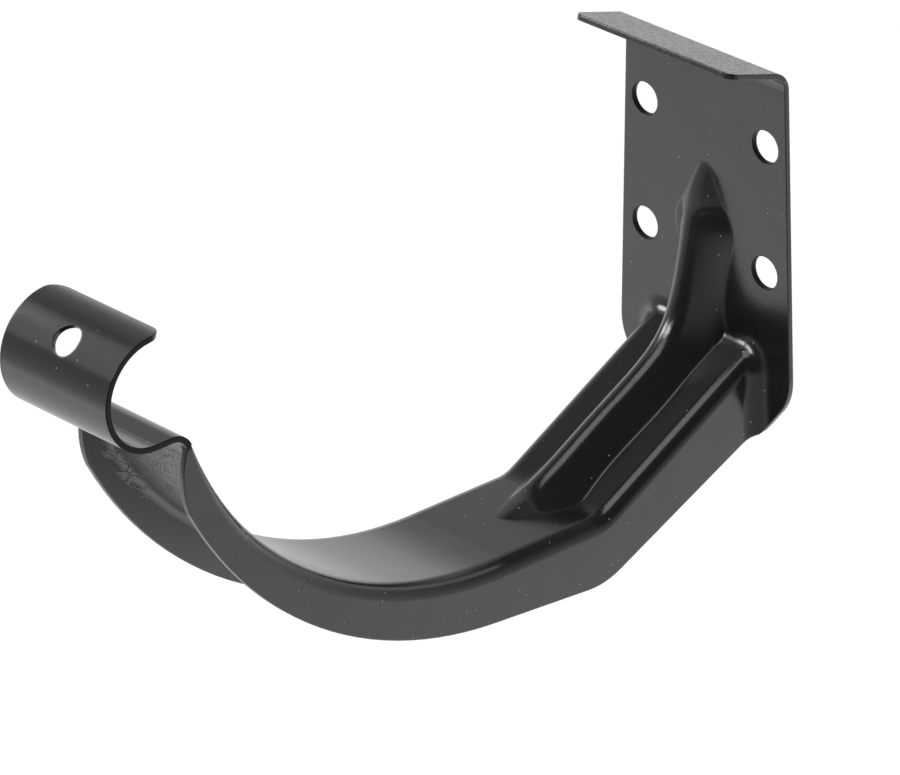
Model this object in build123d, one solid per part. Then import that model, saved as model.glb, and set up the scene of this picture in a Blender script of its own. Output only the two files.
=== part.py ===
from build123d import *
import math
import os

# A gutter bracket pressed from one piece of sheet metal.
# X runs along the gutter, Y into the wall and Z up, in millimetres.
# The origin lies on the wall face of the plate, midway between its four holes.
# Side views are drawn in (out, up), where out is the distance from the wall.
# The drawn body is what lies between two forms: an outer one for the faces that
# show, and an inner one that is the same form, inset by the sheet's thickness.

# Sheet
sheet = 1.0
band_width = 25.4
fold_radius = 2.6
fold_front_radius = 0.4
fold_front_turn = 18.0
corner_radius = 3.4

# Wall plate and the lip over it
lip_tip_width = 36.6
plate_low_width = 40.6
plate_low_up = -34.3
ear_angle = 52.0
ear_radius = 10.0
hole_diameter = 6.0
hole_pitch_across = 28.5
hole_pitch_up = 23.5
lip_start_up = 23.3
lip_bend_radius = 3.0
lip_rise = 17.0
lip_length = 11.4
lip_corner_radius = 2.0

# Arm and cradle of the channel
arm_start_up = -26.5
arm_slope = 27.4
cradle_out = 58.4
cradle_up = 31.0
cradle_radius = 76.0
cradle_fall = 1.5
bend_radius = 7.0

# Lower edge of the channel's side walls
skirt_wall_depth = 15.2
skirt_arm_slope = 23.5
skirt_depth = 7.6
skirt_shift = 3.3
skirt_fall = 6.0
skirt_corner_radius = 15.0
nose_reach = 1.1
nose_drop = 5.7
nose_angle = 27.0

# Hook for the gutter's bead
hook_up = 13.9
hook_floor = 3.344
hook_radius = 9.0
hook_overlap = 15.0
hook_corner_radius = 3.0
shoulder_radius = 4.2
hook_hole_diameter = 5.4
hook_hole_angle = 47.0

# Raised rib with a rounded crest, from the plate round the corner and down the arm
rib_width = 10.8
rib_height = 5.2
rib_crest_radius = 2.5
rib_top_up = 5.0
rib_knee_out = 4.4
rib_knee_up = -1.0
rib_knee_radius = 4.0
rib_lean = 11.6
rib_bend_radius = 18.0
rib_toe_out = 39.0
rib_toe_radius = 10.0
rib_end_out = 51.0
rib_sink = 0.8
rib_least_drop = 2.4
rib_root = 3.0
rib_steps = 8

# How far the forms and cutters reach past the sheet
form_reach = 30.0
touch = 0.001

side = Plane(origin=(0, 0, 0), x_dir=(0, -1, 0), z_dir=(-1, 0, 0))
front = Plane(origin=(0, 0, 0), x_dir=(1, 0, 0), z_dir=(0, -1, 0))
cradle_centre = Vector(cradle_out, cradle_up)
form_low = plate_low_up - 2 * form_reach


def ray(angle):
    return Vector(math.cos(math.radians(angle)), math.sin(math.radians(angle)))


def crossing(start, angle, other_start, other_angle):
    # Point where two lines cross, each given by a point on it and its angle.
    across = ray(other_angle + 90)
    distance = (other_start - start).dot(across) / ray(angle).dot(across)
    return start + ray(angle) * distance


def shoulder_centre():
    # The shoulder touches the hook's floor and the cradle from outside.
    up = hook_up - hook_radius - shoulder_radius
    reach = cradle_radius + shoulder_radius
    return Vector(cradle_out + math.sqrt(reach**2 - (up - cradle_up) ** 2), up)


hook_centre = Vector(shoulder_centre().X + hook_floor, hook_up)
to_shoulder = shoulder_centre() - cradle_centre
cradle_end = math.degrees(math.atan2(to_shoulder.Y, to_shoulder.X))
fold_front = cradle_end - fold_front_turn


def cradle_point(angle, inset):
    return cradle_centre + ray(angle) * (cradle_radius + inset)


def arm_point(inset):
    return Vector(sheet, arm_start_up) - ray(90 - arm_slope) * inset


# Channel


def web_face(inset, back):
    # Side view of a form: arm and cradle on top, plain stock below.
    floor_start = cradle_point(cradle_fall - 90, inset)
    arm_back = crossing(arm_point(inset), -arm_slope, Vector(back, 0), 90)
    bend = crossing(arm_point(inset), -arm_slope, floor_start, cradle_fall)
    arm = FilletPolyline(arm_back, bend, floor_start, radius=bend_radius + inset)
    turn = fold_front + 90 - cradle_fall
    cradle = CenterArc(cradle_centre, cradle_radius + inset, cradle_fall - 90, turn)
    stock_top = cradle_point(fold_front, inset + form_reach)
    stock = Polyline(cradle @ 1, stock_top, (stock_top.X, form_low), (back, form_low), arm_back)
    return make_face(arm + cradle + stock)


def fold_section(angle, inset, radius):
    # Section across the channel, square to the cradle at this angle.
    origin = side.from_local_coords(cradle_point(angle, inset))
    inward = side.from_local_coords(ray(angle)) * -1
    across = Vector(1, 0, 0)
    plane = Plane(origin=origin, x_dir=across, z_dir=across.cross(inward))
    stock = Rectangle(band_width - 2 * inset, form_reach, align=(Align.CENTER, Align.MAX))
    return plane * fillet(stock.vertices().group_by(Axis.Y)[-1], radius)


def channel_front(inset, end_angle):
    # The folds tighten towards the hook, so this stretch is swept.
    radius = cradle_radius + inset
    path = side * CenterArc(cradle_centre, radius, fold_front, end_angle - fold_front)
    start = fold_section(fold_front, inset, fold_radius - inset)
    finish = fold_section(end_angle, inset, fold_front_radius)
    return sweep([start, finish], path=path, multisection=True)


def is_web_edge(edge):
    middle = side.to_local_coords(edge @ 0.5)
    distance = (Vector(middle.X, middle.Y) - cradle_centre).length
    return distance < cradle_radius + form_reach / 3


def channel_form(inset, back, end_angle):
    width = band_width - 2 * inset
    body = extrude(side * web_face(inset, back), amount=width / 2, both=True)
    walls = body.faces().filter_by(Axis.X)
    body = fillet(walls.edges().filter_by(is_web_edge), fold_radius - inset)
    return body + channel_front(inset, end_angle)


def drawn_form(inset, back, end_angle):
    # The channel blends into the wall plate on both sides and above.
    width = band_width - 2 * inset
    face_out = sheet - inset
    spread = plate_low_width + 2 * form_reach
    plate = Rectangle(spread, lip_start_up - form_low, align=(Align.CENTER, Align.MIN))
    plate = front.offset(back) * Pos(0, form_low) * plate
    body = channel_form(inset, back, end_angle) + extrude(plate, amount=face_out - back)
    rim = body.edges().filter_by_position(Axis.Y, -face_out - touch, -face_out + touch)
    rim = rim.filter_by_position(Axis.X, -width / 2 - touch, width / 2 + touch)
    rim = rim.filter_by_position(Axis.Z, form_low + touch, 0)
    return fillet(rim, corner_radius + inset)


# Stiffening rib


def rib_crest():
    # Side view of the crest: out of the plate, down over the corner, along the arm.
    knee = Vector(rib_knee_out, rib_knee_up)
    elbow = crossing(knee, rib_lean - 90, arm_point(-rib_height), -arm_slope)
    toe = crossing(arm_point(-rib_height), -arm_slope, Vector(rib_toe_out, 0), 90)
    top = Vector(sheet - rib_sink, rib_top_up)
    floor = cradle_up - math.sqrt(cradle_radius**2 - (rib_end_out - cradle_out) ** 2)
    end = Vector(rib_end_out, floor - rib_sink)
    radii = [rib_knee_radius, rib_bend_radius, rib_toe_radius]
    return FilletPolyline(top, knee, elbow, toe, end, radius=radii)


def rib_drop(place, down):
    # How far the drawn faces lie under a point of the crest, measured square to it.
    floor_start = cradle_point(cradle_fall - 90, 0)
    faces = [(Vector(sheet, 0), 90), (arm_point(0), -arm_slope), (floor_start, cradle_fall)]
    angle = math.degrees(math.atan2(down.Y, down.X))
    return min((crossing(place, angle, start, slope) - place).dot(down) for start, slope in faces)


def rib_section(line, share, inset):
    # A rounded wedge, square to the crest. Its walls meet the faces at the rib's width.
    place = line @ share
    along = line % share
    down = Vector(along.Y, -along.X)
    depth = max(rib_drop(place, down), rib_least_drop) - rib_crest_radius
    half = rib_width / 2
    slope = math.atan2(depth, half) + math.asin(rib_crest_radius / math.hypot(half, depth))
    radius = rib_crest_radius - inset
    apex = radius / math.cos(slope) - rib_crest_radius
    low = -depth - rib_crest_radius - rib_root
    spread = (apex - low) / math.tan(slope)
    wedge = Polygon((0, apex), (-spread, low), (spread, low), align=None)
    wedge = fillet(wedge.vertices().sort_by(Axis.Y)[-1], radius)
    across = Vector(1, 0, 0)
    up = side.from_local_coords(down) * -1
    plane = Plane(origin=side.from_local_coords(place), x_dir=across, z_dir=across.cross(up))
    return plane * wedge


def rib_form(inset):
    line = Wire(rib_crest().edges())
    return loft([rib_section(line, step / rib_steps, inset) for step in range(rib_steps + 1)])


# Outline and holes


def plate_outline():
    # Front view: it widens downward, and its ears slope in to the side walls.
    tip = Vector(lip_tip_width / 2, lip_start_up + lip_bend_radius + lip_length)
    ear = Vector(plate_low_width / 2, plate_low_up)
    keel = crossing(ear, ear_angle, Vector(0, 0), 90)
    mirrored = [(-ear.X, ear.Y), (-tip.X, tip.Y)]
    outline = make_face(Polyline(tip, ear, keel, *mirrored, close=True))
    corners = outline.vertices().filter_by_position(Axis.Y, ear.Y - touch, ear.Y + touch)
    return fillet(corners, ear_radius)


def channel_outline():
    # Side view kept by the trim: the skirt's lower edge and its rounded nose.
    skirt_centre = cradle_centre - Vector(skirt_shift, skirt_shift)
    skirt_radius = cradle_radius + skirt_depth
    wall_foot = Vector(0, arm_start_up - skirt_wall_depth)
    low_start = skirt_centre + ray(skirt_fall - 90) * skirt_radius
    corner = crossing(wall_foot, -skirt_arm_slope, low_start, skirt_fall)
    start = crossing(wall_foot, -skirt_arm_slope, Vector(-form_reach, 0), 90)
    low = FilletPolyline(start, corner, low_start, radius=skirt_corner_radius)
    turn = 90 - skirt_fall - nose_angle
    curve = CenterArc(skirt_centre, skirt_radius, skirt_fall - 90, turn)
    root = cradle_point(cradle_end, sheet)
    nose = ThreePointArc(curve @ 1, root + Vector(nose_reach, -nose_drop), root)
    top = lip_start_up + lip_bend_radius + lip_length
    back = Polyline(root, cradle_point(cradle_end, -form_reach), (0, top), (-form_reach, top), start)
    return make_face(low + curve + nose + back)


def trimmed(body):
    # The press trims the drawn body to its outline and pierces the plate.
    body = body & extrude(side * channel_outline(), amount=plate_low_width, both=True)
    around = front * (Rectangle(4 * form_reach, 8 * form_reach) - plate_outline())
    blend_end = sheet + corner_radius
    body = body - extrude(around, amount=blend_end) - extrude(around, amount=-form_reach)
    for place in GridLocations(hole_pitch_across, hole_pitch_up, 2, 2):
        body = body - extrude(front * place * Circle(hole_diameter / 2), amount=blend_end, both=True)
    return body


# Lip and hook


def strip(path, width):
    # Bends a strip of sheet along a line of the side view.
    section = Wire(path.edges()).offset_2d(sheet, side=Side.RIGHT, closed=True)
    return extrude(side * make_face(section.edges()), amount=width / 2, both=True)


def rounded_end(body, end, radius):
    # Rounds the two free corners of a strip, at this point of the side view.
    tip = side.from_local_coords(end)
    thickness = body.edges().filter_by(lambda edge: abs(edge.length - sheet) < touch)
    return fillet(thickness.sort_by_distance(tip)[:2], radius)


def lip():
    radius = lip_bend_radius + sheet
    bend = CenterArc((radius, lip_start_up), radius, 180, lip_rise - 90)
    flat = Line(bend @ 1, bend @ 1 + ray(lip_rise) * lip_length)
    body = strip(bend + flat, plate_low_width)
    body = body & extrude(front * plate_outline(), amount=form_reach)
    return rounded_end(body, flat @ 1, lip_corner_radius)


def hook():
    # From the end of the cradle over the shoulder and round the gutter's bead.
    shoulder_turn = -90 - cradle_end
    shoulder = CenterArc(shoulder_centre(), shoulder_radius, cradle_end + 180, shoulder_turn)
    floor = Line(shoulder @ 1, hook_centre - Vector(0, hook_radius))
    curl = CenterArc(hook_centre, hook_radius, -90, 180 + hook_overlap)
    body = strip(shoulder + floor + curl, band_width)
    body = rounded_end(body, curl @ 1, hook_corner_radius)
    centre = side.from_local_coords(hook_centre)
    hole = Plane(origin=centre, z_dir=side.from_local_coords(ray(hook_hole_angle)))
    return body - extrude(hole * Circle(hook_hole_diameter / 2), amount=hook_radius + form_reach)


def gutter_bracket():
    outer = drawn_form(0, -form_reach / 2, cradle_end) + rib_form(0)
    inner = drawn_form(sheet, -form_reach, cradle_end + fold_front_turn) + rib_form(sheet)
    return trimmed(outer - inner) + lip() + hook()


os.makedirs("parts", exist_ok=True)
export_step(gutter_bracket(), "parts/gutter_bracket.step")
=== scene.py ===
import bmesh
import bpy
import math
from mathutils import Matrix, Vector

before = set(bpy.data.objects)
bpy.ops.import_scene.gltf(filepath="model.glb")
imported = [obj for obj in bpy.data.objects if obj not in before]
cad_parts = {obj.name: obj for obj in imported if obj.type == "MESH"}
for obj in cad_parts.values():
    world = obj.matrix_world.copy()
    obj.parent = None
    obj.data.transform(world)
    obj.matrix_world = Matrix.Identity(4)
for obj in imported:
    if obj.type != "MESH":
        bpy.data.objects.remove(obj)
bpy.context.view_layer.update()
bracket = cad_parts["gutter_bracket"]
millimetre = 0.001
print("Frame loaded")


# Shader maths: a value knows its node tree, so sums on it add Math nodes

class Value:
    def __init__(self, bench, socket):
        self.bench = bench
        self.socket = socket

    def combine(self, operation, first, second):
        return self.bench.add("ShaderNodeMath", {"operation": operation}, {0: first, 1: second})

    def __add__(self, other):
        return self.combine("ADD", self, other)

    def __radd__(self, other):
        return self.combine("ADD", other, self)

    def __sub__(self, other):
        return self.combine("SUBTRACT", self, other)

    def __rsub__(self, other):
        return self.combine("SUBTRACT", other, self)

    def __mul__(self, other):
        return self.combine("MULTIPLY", self, other)

    def __rmul__(self, other):
        return self.combine("MULTIPLY", other, self)


class Bench:
    # Adds nodes to one tree. Settings go in first, then the sockets' values or links
    def __init__(self, tree):
        self.tree = tree
        self.tree.nodes.clear()

    def add(self, kind, settings=None, sockets=None, output=0):
        node = self.tree.nodes.new(kind)
        for name, setting in (settings or {}).items():
            if name == "stops":
                self.setStops(node.color_ramp, setting)
            else:
                setattr(node, name, setting)
        for name, value in (sockets or {}).items():
            if isinstance(value, Value):
                self.tree.links.new(value.socket, node.inputs[name])
            else:
                node.inputs[name].default_value = value
        return Value(self, node.outputs[output]) if node.outputs else node

    def setStops(self, ramp, stops):
        while len(ramp.elements) < len(stops):
            ramp.elements.new(1.0)
        for element, (place, tone) in zip(ramp.elements, stops):
            element.position = place
            element.color = (tone, tone, tone, 1.0)

    def ramp(self, value, stops):
        # A value from 0 to 1 turned into a tone by a few stops
        return self.add("ShaderNodeValToRGB", {"stops": stops}, {"Fac": value})

    def fade(self, value, limits):
        # 0 at the first limit and 1 at the second, soft at both. The second may be the smaller
        return self.add("ShaderNodeMapRange", {"interpolation_type": "SMOOTHSTEP"}, {
            "Value": value, "From Min": limits[0], "From Max": limits[1]})

    def zone(self, value, limits):
        # The same for a place on the part, with limits in millimetres
        return self.fade(value, (limits[0] * millimetre, limits[1] * millimetre))

    def noise(self, place, spacing, detail=0.0, twist=0.0):
        return self.add("ShaderNodeTexNoise", {}, {
            "Vector": place, "Scale": 1 / spacing, "Detail": detail, "Distortion": twist})

    def mixVectors(self, share, first, second):
        return self.add("ShaderNodeMix", {"data_type": "VECTOR"}, {"Factor": share, 4: first, 5: second}, 1)

    def size(self, first, second=0.0):
        # Length of a flat vector, or a single value without its sign
        return self.add("ShaderNodeMath", {"operation": "SQRT"}, {0: first * first + second * second})

    def along(self, vector, axis):
        return self.add("ShaderNodeSeparateXYZ", {}, {"Vector": vector}, axis)

    def measure(self, place):
        # Across the bracket, out from the wall, and up
        return self.along(place, "X"), 0 - self.along(place, "Y"), self.along(place, "Z")


# Gloss black paint on the pressed sheet

paintLook = {
    "black": (0.0055, 0.0055, 0.006, 1.0),
    "gloss": 1.85,                     # refractive index, a thick glossy lacquer
    "roughness": 0.2,
    "roughnessInside": 0.42,
    "glossOnCuts": 1.3,                # thin dull paint on cut edges
    "roughnessOnCuts": 0.5,
    "edgeRound": 0.35 * millimetre,
    "edgeSamples": 8,
    "creaseRound": 0.9 * millimetre,   # paint that fills the corners along the rib
    "creaseSamples": 16,
    "tipSoftness": 0.65,
    "toeSoftness": 0.85,
    "peelSpacing": 0.7 * millimetre,
    "peelDepth": 0.013 * millimetre,
    "peelDetail": 1.0,
    "waveSpacing": 9.0 * millimetre,
    "waveDepth": 0.04 * millimetre,
    # pale tone of dust, also used for the painted light under the cradle
    "dustAndPaintedLightColour": (0.22, 0.22, 0.21, 1.0),
    "speckSpacing": 2.6 * millimetre,
    "speckRadius": 0.09 * millimetre,
    "speckBlur": 1.6,                  # outer edge of a speck's blur, in radii
    "lipDust": 0.42,
    "lipPaleness": 0.2,
    "lipGrain": 0.8 * millimetre,
    "lipGrainDetail": 2.0,
    "lipGrainLimits": (0.45, 0.7),
    # painted light: a pale tone that brightens the paint under the cradle
    "insidePaintedLight": 0.22,
    "wrinkleSpacing": 2.4 * millimetre,
    "wrinkleDepth": 0.35 * millimetre,
    "wrinkleDetail": 3.0,
    "wrinkleTwist": 1.5,
    "wrinkleLimits": (0.47, 0.53),
}

# Where each look starts and is full, in millimetres: aside from the middle, out from
# the wall, up from the wall holes' middle, or away from the cradle's axis
paintZones = {
    "underCradle": (76.4, 76.6),
    "insideAside": (12.2, 11.9),
    "insideOut": (60.0, 64.0),
    "insideUp": (1.0, -1.0),
    "wrinkleOut": (116.0, 122.0),
    "wrinkleUp": (1.0, -2.0),
    "wrinkleAway": (79.5, 78.0),
    "lipUp": (25.5, 26.5),
    "ribAside": (9.0, 7.5),
    "ribUp": (10.0, 8.0),
    "ribOut": (56.0, 52.0),
    "tipUp": (-5.5, -2.0),
    "toeOut": (40.5, 46.5),
    "lipFront": (22.35, 22.5),
    "lipFrontUp": (27.0, 28.0),
    "hookAside": (12.5, 12.65),
    "hookOut": (124.0, 126.0),
    "hookUp": (1.0, 2.0),
    "holeAway": (3.12, 3.04),
    "holeOut": (2.0, 1.5),
}
cradleAxis = {"out": 58.4 * millimetre, "up": 31.0 * millimetre}
wallHoles = {"across": 14.25 * millimetre, "up": 11.75 * millimetre}
lipDirection = {"out": 0.956, "up": 0.292}
plateFacing = (0.0, -1.0, 0.0)
floorFacing = (0.0, 0.026, 0.9997)     # the straight start of the cradle, where the rib ends
facingOut = (0.0, -0.2)                # limits for faces that look away from the wall
facingUp = (0.1, 0.3)


def paintMaterial():
    look = paintLook
    zones = paintZones
    material = bpy.data.materials.new("gloss_black_paint")
    material.use_nodes = True
    bench = Bench(material.node_tree)
    place = bench.add("ShaderNodeTexCoord", output="Object")
    across, out, up = bench.measure(place)
    aside = bench.size(across)
    fromAxis = bench.size(out - cradleAxis["out"], up - cradleAxis["up"])
    inside = bench.zone(fromAxis, zones["underCradle"]) * bench.zone(aside, zones["insideAside"])
    inside = inside * bench.zone(out, zones["insideOut"]) * bench.zone(up, zones["insideUp"])

    # Orange peel, and the long waves that a press leaves in thin sheet
    peel = bench.noise(place, look["peelSpacing"], look["peelDetail"])
    wave = bench.noise(place, look["waveSpacing"])
    height = peel * look["peelDepth"] + wave * look["waveDepth"]

    # Wrinkled paint that ran together under the cradle beside the hook
    wrinkled = inside * bench.zone(out, zones["wrinkleOut"]) * bench.zone(up, zones["wrinkleUp"])
    wrinkled = wrinkled * bench.zone(fromAxis, zones["wrinkleAway"])
    wrinkle = bench.noise(place, look["wrinkleSpacing"], look["wrinkleDetail"], look["wrinkleTwist"])
    height = height + bench.fade(wrinkle, look["wrinkleLimits"]) * wrinkled * look["wrinkleDepth"]

    # Dust that dried into the paint: sparse pale points, and a thin film on the lip. Under the cradle the
    # same pale tone is painted light, which brightens the inside
    away = bench.add("ShaderNodeTexVoronoi", {"feature": "F1", "distance": "EUCLIDEAN"}, {
        "Vector": place, "Scale": 1 / look["speckSpacing"], "Randomness": 1.0}, "Distance")
    speckSize = look["speckRadius"] / look["speckSpacing"]
    speck = bench.fade(away, (speckSize * look["speckBlur"], speckSize))
    film = bench.fade(bench.noise(place, look["lipGrain"], look["lipGrainDetail"]), look["lipGrainLimits"])
    film = film * bench.zone(up, zones["lipUp"]) * look["lipDust"]
    # Specks and the lip's film are dust; the inside share is painted light that brightens the paint under the
    # cradle
    dustAndPaintedLightShare = speck + film * look["lipPaleness"] + inside * look["insidePaintedLight"]
    tone = bench.add("ShaderNodeMix", {"data_type": "RGBA"}, {
        "Factor": dustAndPaintedLightShare, 6: look["black"], 7: look["dustAndPaintedLightColour"]}, 2)

    # The corners along the rib are filled by the press's radius and by paint
    ribZone = bench.zone(aside, zones["ribAside"]) * bench.zone(up, zones["ribUp"])
    ribZone = ribZone * bench.zone(out, zones["ribOut"])
    edge = bench.add("ShaderNodeBevel", {"samples": look["edgeSamples"]}, {"Radius": look["edgeRound"]})
    crease = bench.add("ShaderNodeBevel", {"samples": look["creaseSamples"]}, {"Radius": look["creaseRound"]})
    rounded = bench.mixVectors(ribZone, edge, crease)

    # Both ends of the rib run out softly, on the faces that show only
    tip = ribZone * bench.zone(up, zones["tipUp"]) * bench.fade(bench.along(crease, "Y"), facingOut)
    toe = ribZone * bench.zone(out, zones["toeOut"]) * bench.fade(bench.along(crease, "Z"), facingUp)
    rounded = bench.mixVectors(tip * look["tipSoftness"], rounded, plateFacing)
    rounded = bench.mixVectors(toe * look["toeSoftness"], rounded, floorFacing)
    bump = bench.add("ShaderNodeBump", {}, {
        "Strength": 1.0, "Distance": 1.0, "Height": height, "Normal": rounded})

    # Paint is thin and dull on cut edges: the lip's front, the hook's sides and the holes
    lipReach = up * lipDirection["up"] + out * lipDirection["out"]
    lipEdge = bench.zone(lipReach, zones["lipFront"]) * bench.zone(up, zones["lipFrontUp"])
    hookEdge = bench.zone(aside, zones["hookAside"]) * bench.zone(out, zones["hookOut"])
    hookEdge = hookEdge * bench.zone(up, zones["hookUp"])
    fromHole = bench.size(aside - wallHoles["across"], bench.size(up) - wallHoles["up"])
    holeEdge = bench.zone(fromHole, zones["holeAway"]) * bench.zone(out, zones["holeOut"])
    cut = lipEdge + hookEdge + holeEdge + film

    roughness = look["roughness"] + inside * (look["roughnessInside"] - look["roughness"])
    gloss = bench.add("ShaderNodeBsdfPrincipled", {}, {
        "Base Color": tone, "Roughness": roughness, "IOR": look["gloss"], "Normal": bump})
    dull = bench.add("ShaderNodeBsdfPrincipled", {}, {
        "Base Color": look["black"], "Roughness": look["roughnessOnCuts"],
        "IOR": look["glossOnCuts"], "Normal": bump})
    shader = bench.add("ShaderNodeMixShader", {}, {"Fac": cut, 1: gloss, 2: dull})
    bench.add("ShaderNodeOutputMaterial", {}, {"Surface": shader})
    return material


paint = paintMaterial()
for painted in bracket.material_slots:
    painted.material = paint
print("Paint on the bracket")


# Floor

floorLook = {
    "drop": 0.32,      # how far the floor lies under the wall holes
    "reach": 6.0,
    "colour": (0.95, 0.95, 0.95, 1.0),
    "shadowShare": 0.3,
}


def layFloor():
    mesh = bpy.data.meshes.new("floor")
    shape = bmesh.new()
    lie = Matrix.Translation((0, 0, -floorLook["drop"]))
    bmesh.ops.create_grid(shape, x_segments=1, y_segments=1, size=floorLook["reach"], matrix=lie)
    shape.to_mesh(mesh)
    shape.free()
    floor = bpy.data.objects.new("floor", mesh)
    bpy.context.scene.collection.objects.link(floor)
    material = bpy.data.materials.new("white_floor")
    material.use_nodes = True
    bench = Bench(material.node_tree)
    ray = {name: bench.add("ShaderNodeLightPath", output=name)
           for name in ("Is Camera Ray", "Is Glossy Ray", "Is Transmission Ray")}
    seen = ray["Is Camera Ray"] + ray["Is Glossy Ray"] + ray["Is Transmission Ray"]
    matt = bench.add("ShaderNodeBsdfDiffuse", {}, {"Color": floorLook["colour"]})
    white = bench.add("ShaderNodeEmission", {}, {"Strength": 1.0})
    both = bench.add("ShaderNodeMixShader", {}, {
        "Fac": seen * (1 - floorLook["shadowShare"]), 1: matt, 2: white})
    bench.add("ShaderNodeOutputMaterial", {}, {"Surface": both})
    mesh.materials.append(material)
    floor.visible_glossy = False       # the paint mirrors the world's own tones instead


layFloor()
print("Floor laid")


# Light: white below and behind on the left, dark above on the right, and soft lamps

lightLook = {
    "fill": 1.0,
    "lean": (0.55, -0.5, 1.0),     # the way in which the surroundings get darker
    "shine": 1.14,                 # brightness of what the paint mirrors
    "tones": [
        (0.15, 0.84), (0.245, 1.0), (0.3, 0.56), (0.39, 0.4),
        (0.5, 0.32), (0.6, 0.25), (0.7, 0.15), (0.8, 0.03),
    ],
}
lamps = {
    "left": {"from": (-0.28, -0.28, 0.26), "size": (0.3, 0.3), "power": 0.14},
    "spark": {"from": (-0.1625, -0.153, 0.087), "size": (0.07, 0.07), "power": 0.12},
    "front": {"from": (-0.12, -0.96, 0.69), "size": (0.75, 0.3), "power": 4.5},
    "above": {"from": (0.15, -0.45, 1.2), "size": (0.9, 1.0), "power": 3.9},
}


def lightWorld():
    world = bpy.data.worlds.new("studio")
    bpy.context.scene.world = world
    world.use_nodes = True
    bench = Bench(world.node_tree)
    direction = bench.add("ShaderNodeTexCoord", output="Generated")
    lean = bench.add("ShaderNodeVectorMath", {"operation": "DOT_PRODUCT"}, {
        0: direction, 1: lightLook["lean"]}, "Value")
    around = bench.ramp(lean * 0.5 + 0.5, lightLook["tones"])
    glossy = bench.add("ShaderNodeLightPath", output="Is Glossy Ray")
    camera = bench.add("ShaderNodeLightPath", output="Is Camera Ray")
    through = bench.add("ShaderNodeLightPath", output="Is Transmission Ray")
    soft = 1 - glossy - camera - through
    strength = (camera + through) + glossy * around * lightLook["shine"] + soft * lightLook["fill"]
    shader = bench.add("ShaderNodeBackground", {}, {"Color": (1.0, 1.0, 1.0, 1.0), "Strength": strength})
    bench.add("ShaderNodeOutputWorld", {}, {"Surface": shader})


def hangLamps():
    aim = Vector(cameraPlace["aim"])
    for name, lamp in lamps.items():
        data = bpy.data.lights.new(name, "AREA")
        data.shape = "RECTANGLE"
        data.size, data.size_y = lamp["size"]
        data.energy = lamp["power"]
        light = bpy.data.objects.new(name, data)
        light.visible_camera = False
        light.location = lamp["from"]
        light.rotation_euler = (Vector(lamp["from"]) - aim).to_track_quat("Z", "Y").to_euler()
        bpy.context.scene.collection.objects.link(light)


# Camera

cameraPlace = {
    "turn": 46.87,                             # degrees round from straight ahead
    "rise": 26.98,
    "roll": -1.08,
    "distance": 1.0704,
    "aim": (0.0044, -0.06536, -0.01369),       # the point in the middle of the picture
    "lens": 260.0,
    "sensorWidth": 36.0,
}


def setCamera():
    turn = Matrix.Rotation(math.radians(cameraPlace["turn"]), 4, "Z")
    rise = Matrix.Rotation(math.radians(90 - cameraPlace["rise"]), 4, "X")
    roll = Matrix.Rotation(math.radians(cameraPlace["roll"]), 4, "Z")
    back = Matrix.Translation((0, 0, cameraPlace["distance"]))
    data = bpy.data.cameras.new("camera")
    data.lens = cameraPlace["lens"]
    data.sensor_width = cameraPlace["sensorWidth"]
    data.sensor_fit = "HORIZONTAL"
    camera = bpy.data.objects.new("camera", data)
    camera.matrix_world = Matrix.Translation(cameraPlace["aim"]) @ turn @ rise @ roll @ back
    bpy.context.scene.collection.objects.link(camera)
    bpy.context.scene.camera = camera


lightWorld()
hangLamps()
setCamera()
bpy.context.scene.view_settings.view_transform = "Standard"
print("Light and camera set")
